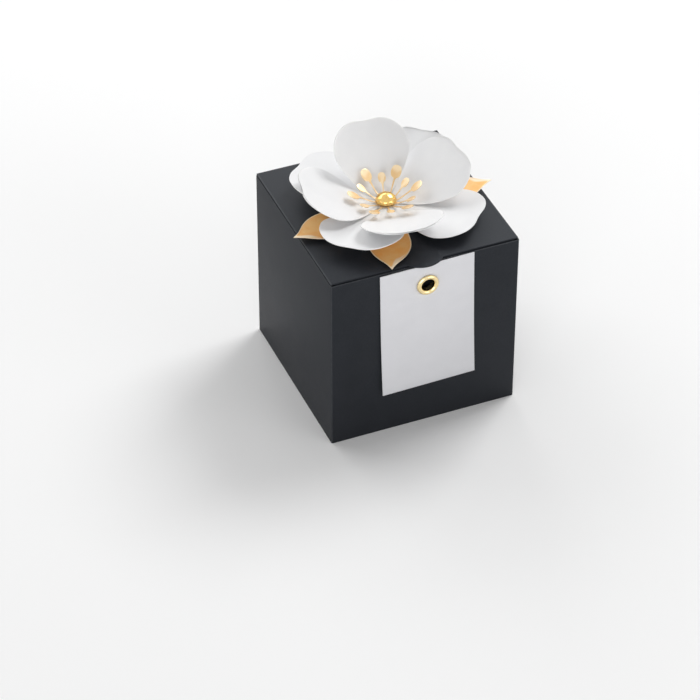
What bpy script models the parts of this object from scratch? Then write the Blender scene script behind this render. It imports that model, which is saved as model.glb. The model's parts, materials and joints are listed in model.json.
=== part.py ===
"""Favor box: a folded card carton with a tuck-in lid, a snap-lock bottom, a tag
that hangs from an eyelet, and a layered paper flower pinned to the lid by a brad.

Metres, +Z up. The origin is the middle of the box's footprint, its thumb tab included,
on the surface that the box stands on. The front, where the tag hangs, faces -Y. The
lid's crease is at +Y. The pieces are drawn about the axis of the square carton, which
main() then moves back from the origin by half of what the thumb tab stands proud.
"""
import math

import bmesh
import bpy
from mathutils import Matrix, Vector

# Carton sizes
BOX_WIDTH = 0.080
BOX_DEPTH = 0.080
BOX_HEIGHT = 0.080
CARD = 0.0005
GAP = 0.0003

# Lid and its tuck flap
LID_SIDE_INSET = 0.0003
TUCK_LENGTH = 0.0190
TUCK_SIDE_RELIEF = 0.0010
TUCK_CORNER_RADIUS = 0.0120
TUCK_SPRING_RATIO = 0.2
THUMB_TAB_CHORD = 0.0150
THUMB_TAB_LENGTH = 0.0036

# Dust flaps, each with a lens-shaped slot
DUST_FLAP_LENGTH = 0.0188
DUST_END_RELIEF = 0.0016
DUST_FRONT_TAPER = 0.0030
DUST_CORNER_RADIUS = 0.0035
LENS_LENGTH = 0.0364
LENS_WIDTH = 0.0046
LENS_FROM_CREASE = 0.0100

# Snap-lock bottom
FLAP_SIDE_RELIEF = 0.0006
NOTCH_FLAP_LENGTH = 0.0576
NOTCH_WIDTH = 0.0368
NOTCH_FLOOR_FROM_CREASE = 0.0366
NOTCH_FLOOR_RADIUS = 0.0030
NOTCH_SHOULDER_RADIUS = 0.0050
SIDE_FLAP_LENGTH = 0.0520
SIDE_FLAP_CORNER_RADIUS = 0.0040
SIDE_FLAP_HEEL = 0.0100
TONGUE_SIDE_CLEARANCE = 0.0010
TONGUE_LEAD = 0.0010
TONGUE_RAMP = 0.0130
TONGUE_LAP = 0.0140
TONGUE_CORNER_RADIUS = 0.0040
TONGUE_SHOULDER = 0.0060

# Glue flap, stuck to the inside of the back wall
GLUE_FLAP_WIDTH = 0.0130
GLUE_FLAP_END_RELIEF = 0.0040
GLUE_FLAP_TAPER = 0.0035

# Hanging tag and its eyelet
TAG_WIDTH = 0.0400
TAG_HEIGHT = 0.0590
TAG_CARD = 0.0004
TAG_OFFSET = 0.0004
TAG_BELOW_LID = 0.0006
TAG_CURL = 0.0012
TAG_FLAT_BELOW_EYELET = 0.0080
TAG_SWING_DEG = 1.1
EYELET_BELOW_TAG_TOP = 0.0095
EYELET_HOLE_RADIUS = 0.00265
EYELET_BARREL_WALL = 0.0004
EYELET_FLANGE_RADIUS = 0.0046
EYELET_FLANGE_RISE = 0.0009
EYELET_COLLAR_RADIUS = 0.0041
EYELET_COLLAR_RISE = 0.0007

# Paper flower, its leaves and its stamens
PAPER = 0.0003
FLOWER_HUB_RADIUS = 0.0050
PETAL_BEND = 0.0080
UPPER_PETAL_LENGTH = 0.0380
UPPER_PETAL_HALF_WIDTH = 0.0170
LOWER_PETAL_LENGTH = 0.0404
LOWER_PETAL_HALF_WIDTH = 0.0174
LEAF_LENGTH = 0.0440
LEAF_HALF_WIDTH = 0.0086
LEAF_BEND = 0.0030
STAMEN_HUB_RADIUS = 0.0044
STAMEN_BEND = 0.0015
FILAMENT_HALF_WIDTH = 0.00022
LONG_STAMEN_HEAD_AT = 0.0144
LONG_STAMEN_HEAD_LENGTH = 0.0060
LONG_STAMEN_HEAD_WIDTH = 0.0048
SHORT_STAMEN_HEAD_AT = 0.0117
SHORT_STAMEN_HEAD_LENGTH = 0.0046
SHORT_STAMEN_HEAD_WIDTH = 0.0035

# Brad that pins the flower to the lid
BRAD_CAP_RADIUS = 0.0042
BRAD_CAP_HEIGHT = 0.0031
BRAD_CAP_WALL = 0.0005
BRAD_LEG_WIDTH = 0.0022
BRAD_LEG_THICKNESS = 0.0004
BRAD_LEG_LENGTHS = (0.0120, 0.0140)
BRAD_LEG_POINT = 0.0030
BRAD_ROOT_HALF_LENGTH = 0.0022

# Numbers of facets
ARC_STEPS = 6
LENS_STEPS = 10
HOLE_STEPS = 24
EYELET_STEPS = 32
BEAD_STEPS = 6
CAP_STEPS = 28
CAP_ARC_STEPS = 7
PETAL_ROWS = 8
PETAL_COLUMNS = 14
LEAF_ROWS = 8
LEAF_COLUMNS = 6
HUB_ARC_STEP_DEG = 16.0

# Half of the hub's arc that each petal or leaf grows from, in degrees
PETAL_ROOT_DEG = 36.0
LEAF_ROOT_DEG = 26.0

# Outline of half a petal beyond its root: share of its length, share of its half width
PETAL_SIDE_SHARES = ((0.30, 0.54), (0.48, 0.84), (0.66, 1.0), (0.82, 0.91))
PETAL_RIM_SHARES = ((0.82, 0.91), (0.94, 0.67), (0.985, 0.38), (0.981, 0.16), (0.976, 0.0))

# Outline of half a leaf: a round belly that draws in to a sharp tip
LEAF_SIDE_SHARES = ((0.30, 0.66), (0.48, 0.92), (0.64, 1.0), (0.775, 0.80), (0.865, 0.46))
LEAF_RIM_SHARES = ((0.865, 0.46), (0.93, 0.18), (1.0, 0.0))

# Petals and leaves: azimuth, slope near the hub, slope at the tip, upturn of the
# side edges and tilt about the petal's own axis, all in degrees
UPPER_PETALS = (
    (6.0, 29.0, 36.5, -3.0, 3.0),
    (85.5, 42.0, 56.0, 28.0, 5.0),
    (170.5, 22.0, 31.0, 10.0, -2.0),
    (262.0, 21.0, 23.0, 18.0, 2.0),
)
LOWER_PETALS = (
    (44.0, 17.0, 29.0, -10.0, -7.0),
    (132.0, 11.0, 12.0, 12.0, 3.5),
    (226.0, 9.5, 11.0, 17.0, 3.5),
    (316.0, 6.0, 12.0, 0.0, 0.0),
)
LEAVES = (
    (191.5, 1.5, 4.5, 4.0, 0.0),
    (250.0, 1.5, 2.0, 4.0, 0.0),
    (353.0, 2.0, 9.0, 4.0, 0.0),
)
STAMEN_COUNT = 12
FIRST_STAMEN_DEG = -13.0
STAMEN_SLOPE_DEG = 34.0
STAMEN_SLOPE_SWAY_DEG = 10.0
STAMEN_STEEPEST_AT_DEG = 45.0

# Planes and lines that the pieces share
HALF_WIDTH = BOX_WIDTH / 2
HALF_DEPTH = BOX_DEPTH / 2
CREASE_X = HALF_WIDTH - CARD - GAP
CREASE_Y = HALF_DEPTH - CARD - GAP
LID_UNDERSIDE = BOX_HEIGHT - CARD
WALL_TOP = LID_UNDERSIDE - GAP
CREASE_Z = WALL_TOP + GAP / 2
CARD_PITCH = CARD + GAP
PAPER_PITCH = PAPER + GAP
TONGUE_HALF_WIDTH = NOTCH_WIDTH / 2 - TONGUE_SIDE_CLEARANCE
NOTCH_FLOOR_Y = CREASE_Y - NOTCH_FLOOR_FROM_CREASE
RAMP_END_Y = NOTCH_FLOOR_Y - TONGUE_LEAD
RAMP_START_Y = RAMP_END_Y - TONGUE_RAMP
TAG_TOP = LID_UNDERSIDE - TAG_BELOW_LID
EYELET_Z = TAG_TOP - EYELET_BELOW_TAG_TOP
EYELET_BARREL_RADIUS = EYELET_HOLE_RADIUS + EYELET_BARREL_WALL
EYELET_CUT_RADIUS = EYELET_BARREL_RADIUS + GAP
BRAD_SHANK_HALF = BRAD_LEG_THICKNESS + GAP / 2
BRAD_CUT_RADIUS = math.hypot(BRAD_LEG_WIDTH / 2, BRAD_SHANK_HALF) + GAP
LEAF_LEVEL = BOX_HEIGHT + GAP
LOWER_LEVEL = LEAF_LEVEL + PAPER_PITCH
UPPER_LEVEL = LOWER_LEVEL + PAPER_PITCH
STAMEN_LEVEL = UPPER_LEVEL + PAPER_PITCH
CAP_LEVEL = STAMEN_LEVEL + PAPER_PITCH
TAB_PROUD = THUMB_TAB_LENGTH - (HALF_DEPTH - CREASE_Y)
CARTON_AXIS_Y = TAB_PROUD / 2

# Colours of the card, paper and metal
CHARCOAL = (0.058, 0.061, 0.068)
CHARCOAL_INSIDE = (0.070, 0.073, 0.080)
PEARL_WHITE = (0.86, 0.86, 0.87)
TAG_GREY = (0.70, 0.70, 0.73)
GOLD_FOIL = (0.83, 0.58, 0.27)
POLISHED_GOLD = (0.86, 0.63, 0.25)


def clear_scene():
    """Remove what the scene holds."""
    for item in list(bpy.data.objects):
        bpy.data.objects.remove(item, do_unlink=True)
    for group in (bpy.data.meshes, bpy.data.materials):
        for block in list(group):
            group.remove(block)


def make_material(name, colour, roughness, metallic):
    """A Principled material of one colour."""
    mat = bpy.data.materials.new(name)
    mat.use_nodes = True
    shader = mat.node_tree.nodes["Principled BSDF"]
    shader.inputs["Base Color"].default_value = (*colour, 1.0)
    shader.inputs["Roughness"].default_value = roughness
    shader.inputs["Metallic"].default_value = metallic
    return mat


def card_finish(name, colour=CHARCOAL):
    return make_material(name, colour, 0.62, 0.0)


def paper_finish(name, colour=PEARL_WHITE):
    return make_material(name, colour, 0.48, 0.0)


def gold_finish(name, colour=POLISHED_GOLD, roughness=0.18):
    return make_material(name, colour, roughness, 1.0)


def add_piece(name, bm, finish, pivot, smooth_deg=None):
    """Turn a bmesh into a named object whose origin is its pivot."""
    mesh = bpy.data.meshes.new(name)
    bm.to_mesh(mesh)
    bm.free()
    mesh.materials.append(finish)
    if smooth_deg is not None:
        mesh.shade_smooth()
        mesh.set_sharp_from_angle(angle=math.radians(smooth_deg))
    piece = bpy.data.objects.new(name, mesh)
    bpy.context.scene.collection.objects.link(piece)
    if pivot is not None:
        piece.parent = pivot
    return piece


def add_pivot(name, place, parent=None):
    """An empty on a joint's axis; place is in the world."""
    pivot = bpy.data.objects.new(name, None)
    bpy.context.scene.collection.objects.link(pivot)
    pivot.empty_display_size = GAP
    if parent is None:
        pivot.location = place
    else:
        pivot.parent = parent
        pivot.location = Vector(place) - parent.matrix_world.translation
    bpy.context.view_layer.update()
    return pivot


def round_corners(corners):
    """Polygon from (x, y, fillet radius) corners, each fillet drawn as an arc."""
    points = []
    count = len(corners)
    for index, (x, y, radius) in enumerate(corners):
        here = Vector((x, y))
        back = Vector(corners[index - 1][:2]) - here
        ahead = Vector(corners[(index + 1) % count][:2]) - here
        if radius == 0.0:
            points.append((x, y))
            continue
        half_turn = back.angle(ahead) / 2
        reach = min(radius / math.tan(half_turn), back.length / 2, ahead.length / 2)
        radius = reach * math.tan(half_turn)
        middle = here + (back.normalized() + ahead.normalized()).normalized() * (
            radius / math.sin(half_turn))
        start = here + back.normalized() * reach - middle
        stop = here + ahead.normalized() * reach - middle
        sweep = start.angle_signed(stop)
        for step in range(ARC_STEPS + 1):
            spoke = start.copy()
            spoke.rotate(Matrix.Rotation(-sweep * step / ARC_STEPS, 2))
            points.append(tuple(middle + spoke))
    return points


def circle(radius, steps, x=0.0, y=0.0):
    turns = [2 * math.pi * step / steps for step in range(steps)]
    return [(x + radius * math.cos(turn), y + radius * math.sin(turn)) for turn in turns]


def bow(chord, rise, steps, x=0.0, y=0.0):
    """Circular arc over a chord along X, from -X to +X, bulging to -Y by its rise."""
    radius = (chord ** 2 / 4 + rise ** 2) / (2 * rise)
    half = math.asin(chord / 2 / radius)
    if rise > chord / 2:
        half = math.pi - half
    arc = []
    for step in range(steps + 1):
        turn = half * (2 * step / steps - 1)
        arc.append((x + radius * math.sin(turn), y + radius - rise - radius * math.cos(turn)))
    return arc


def sheet(loops):
    """Flat sheet in XY from its outline and the outlines of its holes."""
    bm = bmesh.new()
    edges = []
    for loop in loops:
        verts = [bm.verts.new((x, y, 0.0)) for x, y in loop]
        edges += [bm.edges.new(pair) for pair in zip(verts, verts[1:] + verts[:1])]
    bmesh.ops.triangle_fill(bm, use_beauty=True, use_dissolve=False, edges=edges)
    return bm


def thicken(bm, offset_of):
    """Give a sheet its second face, offset_of(vertex) away, and close its borders."""
    faces = list(bm.faces)
    borders = [edge for edge in bm.edges if edge.is_boundary]
    twin = {vert: bm.verts.new(vert.co + offset_of(vert)) for vert in list(bm.verts)}
    for face in faces:
        bm.faces.new([twin[vert] for vert in reversed(face.verts)])
    for edge in borders:
        a, b = edge.verts
        bm.faces.new((a, b, twin[b], twin[a]))
    bmesh.ops.recalc_face_normals(bm, faces=bm.faces)


def card_plate(loops, thickness, place):
    """Card cut to a flat outline, its drawn face up, put in its place."""
    bm = sheet(loops)
    thicken(bm, lambda vert: Vector((0.0, 0.0, -thickness)))
    bmesh.ops.transform(bm, matrix=place, verts=bm.verts)
    return bm


def upright(turn_deg=0.0, distance=0.0):
    """Stand a drawing up with its face out, at a distance from the axis, turned about Z."""
    turn = Matrix.Rotation(math.radians(turn_deg), 4, "Z")
    return turn @ Matrix.Translation((0.0, -distance, 0.0)) @ Matrix.Rotation(math.pi / 2, 4, "X")


def lying(z):
    return Matrix.Translation((0.0, 0.0, z))


def make_wall(name, width, distance, turn_deg, holes=()):
    """A wall panel whose upright edges are mitred to meet the next panel's."""
    half = width / 2 - GAP / math.sqrt(2)
    outline = [(-half, 0.0), (half, 0.0), (half, WALL_TOP), (-half, WALL_TOP)]
    bm = sheet([outline, *holes])
    thicken(bm, lambda vert: Vector((
        -math.copysign(CARD, vert.co.x) if abs(abs(vert.co.x) - half) < GAP / 2 else 0.0,
        0.0, -CARD)))
    bmesh.ops.transform(bm, matrix=upright(turn_deg, distance), verts=bm.verts)
    add_piece(name, bm, card_finish(name), None)


def make_walls():
    hole = circle(EYELET_CUT_RADIUS, HOLE_STEPS, TAG_OFFSET, EYELET_Z)
    make_wall("front_wall", BOX_WIDTH, HALF_DEPTH, 0.0, [hole])
    make_wall("right_wall", BOX_DEPTH, HALF_WIDTH, 90.0)
    make_wall("back_wall", BOX_WIDTH, HALF_DEPTH, 180.0)
    make_wall("left_wall", BOX_DEPTH, HALF_WIDTH, 270.0)


def make_glue_flap():
    """Tapered flap of the left wall that is stuck inside the back wall."""
    low = GLUE_FLAP_END_RELIEF
    high = WALL_TOP - GLUE_FLAP_END_RELIEF
    far = CREASE_X - GLUE_FLAP_WIDTH
    outline = [(CREASE_X, low), (CREASE_X, high),
               (far, high - GLUE_FLAP_TAPER), (far, low + GLUE_FLAP_TAPER)]
    bm = card_plate([outline], CARD, upright(180.0, CREASE_Y))
    add_piece("glue_flap", bm, card_finish("glue_flap", CHARCOAL_INSIDE), None)


def make_notch_flap():
    """Bottom flap of the back wall, with the notch that the tongue locks into."""
    half = CREASE_X - FLAP_SIDE_RELIEF
    notch = NOTCH_WIDTH / 2
    end = CREASE_Y - NOTCH_FLAP_LENGTH
    corners = [
        (half, CREASE_Y, 0.0), (-half, CREASE_Y, 0.0),
        (-half, end, SIDE_FLAP_CORNER_RADIUS), (-notch, end, NOTCH_SHOULDER_RADIUS),
        (-notch, NOTCH_FLOOR_Y, NOTCH_FLOOR_RADIUS), (notch, NOTCH_FLOOR_Y, NOTCH_FLOOR_RADIUS),
        (notch, end, NOTCH_SHOULDER_RADIUS), (half, end, SIDE_FLAP_CORNER_RADIUS),
    ]
    bm = card_plate([round_corners(corners)], CARD, lying(3 * CARD_PITCH + CARD))
    add_piece("bottom_notch_flap", bm, card_finish("bottom_notch_flap", CHARCOAL_INSIDE), None)


def make_bottom_side_flap(name, side, level):
    """Bottom flap of a side wall: full length in front, cut back beside the tongue."""
    front = FLAP_SIDE_RELIEF - CREASE_Y
    back = CREASE_Y - FLAP_SIDE_RELIEF
    step = RAMP_START_Y - TONGUE_LEAD
    beside = TONGUE_HALF_WIDTH + TONGUE_SIDE_CLEARANCE
    radius = SIDE_FLAP_CORNER_RADIUS
    corners = [
        (CREASE_X, front, 0.0), (CREASE_X, back, 0.0),
        (CREASE_X - SIDE_FLAP_HEEL, back, radius), (beside, NOTCH_FLOOR_Y, radius),
        (beside, step, radius / 2), (CREASE_X - SIDE_FLAP_LENGTH, step, radius / 2),
        (CREASE_X - SIDE_FLAP_LENGTH, front, radius),
    ]
    outline = [(side * x, y) for x, y in round_corners(corners)]
    bm = card_plate([outline], CARD, lying(level * CARD_PITCH + CARD))
    add_piece(name, bm, card_finish(name, CHARCOAL_INSIDE), None)


def make_tongue_flap():
    """Bottom flap of the front wall; its tongue climbs through the notch and lies on top."""
    body = CREASE_X - FLAP_SIDE_RELIEF
    tongue = TONGUE_HALF_WIDTH
    rise = 4 * CARD_PITCH
    stations = [(-CREASE_Y, body, 0.0), (RAMP_START_Y - TONGUE_SHOULDER, body, 0.0)]
    for step in range(ARC_STEPS + 1):
        share = step / ARC_STEPS
        climb = rise * (1 - math.cos(math.pi * share)) / 2
        stations.append((RAMP_START_Y + TONGUE_RAMP * share, tongue, climb))
    tip = NOTCH_FLOOR_Y + TONGUE_LAP
    for step in range(ARC_STEPS + 1):
        turn = math.pi / 2 * step / ARC_STEPS
        inset = TONGUE_CORNER_RADIUS * (1 - math.cos(turn))
        stations.append((tip - TONGUE_CORNER_RADIUS * (1 - math.sin(turn)), tongue - inset, rise))
    bm = bmesh.new()
    rows = []
    for y, half, z in stations:
        rows.append([bm.verts.new((-half, y, z)), bm.verts.new((half, y, z))])
    for near, far in zip(rows, rows[1:]):
        bm.faces.new((near[0], near[1], far[1], far[0]))
    bm.normal_update()
    normals = {vert: vert.normal.copy() for vert in bm.verts}
    thicken(bm, lambda vert: normals[vert] * CARD)
    add_piece("bottom_tongue_flap", bm, card_finish("bottom_tongue_flap", CHARCOAL_INSIDE), None)


def make_lid():
    """Lid panel with its thumb tab and the hole for the brad; returns its pivot."""
    pivot = add_pivot("lid_hinge", (0.0, HALF_DEPTH, CREASE_Z))
    half = HALF_WIDTH - LID_SIDE_INSET
    tab = bow(THUMB_TAB_CHORD, THUMB_TAB_LENGTH, 2 * ARC_STEPS, 0.0, -CREASE_Y)
    outline = [(half, HALF_DEPTH), (-half, HALF_DEPTH), (-half, -CREASE_Y), *tab, (half, -CREASE_Y)]
    hole = circle(BRAD_CUT_RADIUS, HOLE_STEPS)
    place = Matrix.Translation((0.0, -HALF_DEPTH, BOX_HEIGHT - CREASE_Z))
    bm = card_plate([outline, hole], CARD, place)
    add_piece("lid_panel", bm, card_finish("lid_panel"), pivot)
    return pivot


def tuck_lean():
    """Angle off the front wall at which the swinging flap's lower edge clears the wall."""
    drop = TUCK_LENGTH + GAP / 2
    reach = HALF_DEPTH + CREASE_Y
    turn = math.atan2(drop, reach)
    spring_back = TUCK_SPRING_RATIO * turn * drop
    widest = reach - spring_back
    inset = reach - math.sqrt(widest ** 2 - drop ** 2)
    return math.asin(inset / drop)


def make_tuck_flap(lid_pivot):
    """Flap on the lid's front crease, cut out where the thumb tab was freed from it."""
    pivot = add_pivot("tuck_crease", (0.0, -CREASE_Y, CREASE_Z), lid_pivot)
    half = CREASE_X - TUCK_SIDE_RELIEF
    top = -GAP / 2
    end = top - TUCK_LENGTH
    radius = min(TUCK_CORNER_RADIUS, TUCK_LENGTH)
    cut = bow(THUMB_TAB_CHORD + 2 * GAP, THUMB_TAB_LENGTH + GAP, 2 * ARC_STEPS, 0.0, top)
    corners = [(half, top, 0.0), (half, end, radius), (-half, end, radius), (-half, top, 0.0)]
    outline = round_corners(corners) + cut
    place = Matrix.Rotation(tuck_lean(), 4, "X") @ upright()
    bm = card_plate([outline], CARD, place)
    add_piece("tuck_flap", bm, card_finish("tuck_flap"), pivot)


def make_dust_flap(name, side):
    """Flap of a side wall that lies under the lid, with a lens-shaped slot."""
    pivot = add_pivot(name + "_crease", (side * (CREASE_X + GAP / 2), 0.0, WALL_TOP - CARD))
    near = GAP / 2
    far = near + DUST_FLAP_LENGTH
    front = DUST_END_RELIEF - CREASE_Y
    back = CREASE_Y - DUST_END_RELIEF
    corners = [
        (near, front, 0.0), (far, front + DUST_FRONT_TAPER, DUST_CORNER_RADIUS),
        (far, back, DUST_CORNER_RADIUS), (near, back, 0.0),
    ]
    lens_x = near + LENS_FROM_CREASE
    half_lens = bow(LENS_LENGTH, LENS_WIDTH / 2, LENS_STEPS)
    lens = [(lens_x + y, x) for x, y in half_lens] + [(lens_x - y, -x) for x, y in half_lens[1:-1]]
    loops = [[(-side * x, y) for x, y in loop] for loop in (round_corners(corners), lens)]
    bm = card_plate(loops, CARD, lying(CARD))
    add_piece(name, bm, card_finish(name, CHARCOAL_INSIDE), pivot)


def make_tag():
    """Tag held flat by the eyelet, its lower part curling away from the wall."""
    pivot = add_pivot("tag_pivot", (TAG_OFFSET, -HALF_DEPTH, EYELET_Z))
    half = TAG_WIDTH / 2
    flat_end = -TAG_FLAT_BELOW_EYELET
    outline = [(-half, flat_end), (half, flat_end),
               (half, EYELET_BELOW_TAG_TOP), (-half, EYELET_BELOW_TAG_TOP)]
    bm = sheet([outline, circle(EYELET_CUT_RADIUS, HOLE_STEPS)])
    lower = [vert for vert in bm.verts if abs(vert.co.y - flat_end) < GAP / 2]
    row = sorted(lower, key=lambda vert: vert.co.x)
    curl_length = TAG_HEIGHT - EYELET_BELOW_TAG_TOP - TAG_FLAT_BELOW_EYELET
    for step in range(ARC_STEPS):
        share = (step + 1) / ARC_STEPS
        y = flat_end - curl_length * share
        z = TAG_CURL * share ** 2
        after = [bm.verts.new((vert.co.x, y, z)) for vert in row]
        bm.faces.new((row[0], after[0], after[1], row[1]))
        row = after
    thicken(bm, lambda vert: Vector((0.0, 0.0, TAG_CARD)))
    place = Matrix.Rotation(math.radians(-TAG_SWING_DEG), 4, "Y") @ upright(0.0, GAP)
    bmesh.ops.transform(bm, matrix=place, verts=bm.verts)
    add_piece("tag", bm, paper_finish("tag", TAG_GREY), pivot)


def bead(inner, outer, base, rise):
    """Half-round bead of a turned profile, from its inner edge to its outer edge."""
    middle = (inner + outer) / 2
    half = (outer - inner) / 2
    turns = [math.pi * step / BEAD_STEPS for step in range(BEAD_STEPS + 1)]
    return [(middle - half * math.cos(turn), base + rise * math.sin(turn)) for turn in turns]


def turned(profile, closed, steps):
    """Turn a profile of (radius, height) points about Z."""
    bm = bmesh.new()
    verts = [bm.verts.new((radius, 0.0, height)) for radius, height in profile]
    edges = [bm.edges.new(pair) for pair in zip(verts, verts[1:])]
    if closed:
        edges.append(bm.edges.new((verts[-1], verts[0])))
    bmesh.ops.spin(bm, geom=verts + edges, cent=(0.0, 0.0, 0.0), axis=(0.0, 0.0, 1.0),
                   angle=2 * math.pi, steps=steps, use_merge=True)
    bmesh.ops.remove_doubles(bm, verts=bm.verts, dist=GAP / 100)
    bmesh.ops.recalc_face_normals(bm, faces=bm.faces)
    return bm


def make_eyelet():
    """Eyelet through the tag and the front wall: flange, barrel and rolled collar."""
    flange_base = GAP + TAG_CARD + GAP
    collar_base = -CARD - GAP
    flange = bead(EYELET_HOLE_RADIUS, EYELET_FLANGE_RADIUS, flange_base, EYELET_FLANGE_RISE)
    collar = bead(EYELET_HOLE_RADIUS, EYELET_COLLAR_RADIUS, collar_base, -EYELET_COLLAR_RISE)
    barrel = [(EYELET_BARREL_RADIUS, collar_base), (EYELET_BARREL_RADIUS, flange_base)]
    bm = turned(collar + barrel + flange[::-1], True, EYELET_STEPS)
    place = Matrix.Translation((TAG_OFFSET, 0.0, EYELET_Z)) @ upright(0.0, HALF_DEPTH)
    bmesh.ops.transform(bm, matrix=place, verts=bm.verts)
    add_piece("eyelet", bm, gold_finish("eyelet"), None, 40.0)


def spline(points, steps):
    """Even samples of a Catmull-Rom curve through 2D points."""
    ring = [Vector(point) for point in points]
    ring = [2 * ring[0] - ring[1], *ring, 2 * ring[-1] - ring[-2]]
    spans = len(points) - 1
    curve = []
    for step in range(steps + 1):
        along = spans * step / steps
        span = min(int(along), spans - 1)
        t = along - span
        a, b, c, d = ring[span:span + 4]
        curve.append(b + (c - a) * (t / 2) + (2 * a - 5 * b + 4 * c - d) * (t ** 2 / 2)
                     + (3 * b - a - 3 * c + d) * (t ** 3 / 2))
    return curve


class Arm:
    """One petal, leaf or stamen of a die-cut layer, bent up from the layer's hub.

    side is its right border from the hub outward and rim its end from that border to
    the middle; both are flat (along, across) points, and the left half mirrors them.
    """

    def __init__(self, azimuth, slopes, edge_rise, tilt, side, rim, hub_radius, bend):
        self.azimuth = math.radians(azimuth)
        self.root_slope = math.radians(slopes[0])
        self.tip_slope = math.radians(slopes[1])
        self.tilt = math.tan(math.radians(tilt))
        self.side = side
        self.rim = rim + [Vector((point.x, -point.y)) for point in rim[-2::-1]]
        self.hub_radius = hub_radius
        self.bend = bend
        self.length = max(point.x for point in self.rim)
        half_width = max(point.y for point in side)
        self.curvature = math.radians(edge_rise) / half_width
        self.root_half_angle = math.atan2(side[0].y, side[0].x)

    def rows(self):
        """Flat points between the hub and the rim, row by row, right to left."""
        columns = len(self.rim) - 1
        last = len(self.side) - 1
        grid = []
        for i, right in enumerate(self.side):
            s = i / last
            left = Vector((right.x, -right.y))
            row = []
            for j in range(columns + 1):
                t = j / columns
                turn = self.root_half_angle * (1 - 2 * t)
                root = Vector((math.cos(turn), math.sin(turn))) * self.hub_radius
                blend = root * (1 - s) + self.rim[j] * s + right * (1 - t) + left * t
                right_chord = self.side[0] * (1 - s) + self.side[-1] * s
                left_chord = Vector((right_chord.x, -right_chord.y))
                row.append(blend - right_chord * (1 - t) - left_chord * t)
            grid.append(row)
        return grid

    def profile(self, along):
        """Distance from the axis, height and slope of the bent middle line."""
        if along <= self.hub_radius:
            return along, 0.0, 0.0
        run = along - self.hub_radius
        first = min(run, self.bend)
        slope = self.root_slope * first / self.bend
        out, up = arc_run(0.0, slope, first)
        rest = run - first
        if rest > 0.0:
            share = rest / (self.length - self.hub_radius - self.bend)
            end_slope = slope + (self.tip_slope - slope) * share
            more_out, more_up = arc_run(slope, end_slope, rest)
            return self.hub_radius + out + more_out, up + more_up, end_slope
        return self.hub_radius + out, up, slope

    def bent(self, along, across):
        """Place of a flat point on the bent arm, above the hub's plane."""
        out, up, slope = self.profile(along)
        ease = min(max((along - self.hub_radius) / self.bend, 0.0), 1.0)
        wide = across
        lift = 0.0
        if self.curvature != 0.0:
            wide = math.sin(self.curvature * across) / self.curvature
            lift = (1 - math.cos(self.curvature * across)) / self.curvature
        lift = (lift + across * self.tilt) * ease
        out -= lift * math.sin(slope)
        up += lift * math.cos(slope)
        point = Vector((out, wide, up))
        point.rotate(Matrix.Rotation(self.azimuth, 3, "Z"))
        return point

    def face_normal(self, along, across):
        step = self.bend / 100
        run = self.bent(along + step, across) - self.bent(along - step, across)
        width = self.bent(along, across + step) - self.bent(along, across - step)
        return run.cross(width).normalized()


def arc_run(start, stop, length):
    """Run and rise of a curve of even bend between two slopes."""
    change = stop - start
    if abs(change) < 1e-9:
        return length * math.cos(start), length * math.sin(start)
    radius = length / change
    return radius * (math.sin(stop) - math.sin(start)), radius * (math.cos(start) - math.cos(stop))


def die_cut_layer(name, arms, level, finish, smooth_deg):
    """Layer cut from one sheet: a hub with the brad's hole, and the arms around it."""
    bm = bmesh.new()
    up = Vector((0.0, 0.0, 1.0))
    normals = {}
    hub = []

    def corner(point, normal):
        vert = bm.verts.new(point + up * level)
        normals[vert] = normal
        return vert

    arms = sorted(arms, key=lambda arm: arm.azimuth)
    for index, arm in enumerate(arms):
        grid = []
        for row in arm.rows():
            grid.append([corner(arm.bent(p.x, -p.y), arm.face_normal(p.x, -p.y)) for p in row])
        for near, far in zip(grid, grid[1:]):
            for j in range(len(near) - 1):
                bm.faces.new((near[j], far[j], far[j + 1], near[j + 1]))
        hub += grid[0]
        after = arms[(index + 1) % len(arms)]
        start = arm.azimuth + arm.root_half_angle
        stop = after.azimuth - after.root_half_angle
        if stop < start:
            stop += 2 * math.pi
        steps = max(1, round((stop - start) / math.radians(HUB_ARC_STEP_DEG)))
        for step in range(1, steps):
            turn = start + (stop - start) * step / steps
            spoke = Vector((math.cos(turn), math.sin(turn), 0.0)) * arm.hub_radius
            hub.append(corner(spoke, up))
    hole = []
    for vert in hub:
        spoke = Vector((vert.co.x, vert.co.y, 0.0)).normalized() * BRAD_CUT_RADIUS
        hole.append(corner(spoke, up))
    count = len(hub)
    for k in range(count):
        after = (k + 1) % count
        bm.faces.new((hole[k], hub[k], hub[after], hole[after]))
    thicken(bm, lambda vert: normals[vert] * PAPER)
    return bm


def shaped_arms(table, root_deg, side_shares, rim_shares, length, half_width, bend, rows, columns):
    """Arms of one outline, each with its own azimuth, slopes, upturn and tilt."""
    size = Vector((length, half_width))
    turn = math.radians(root_deg)
    root = Vector((math.cos(turn), math.sin(turn))) * FLOWER_HUB_RADIUS
    side = spline([root] + [Vector(share) * size for share in side_shares], rows)
    rim = spline([Vector(share) * size for share in rim_shares], columns // 2)
    return [Arm(azimuth, (root_slope, tip_slope), rise, tilt, side, rim, FLOWER_HUB_RADIUS, bend)
            for azimuth, root_slope, tip_slope, rise, tilt in table]


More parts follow.
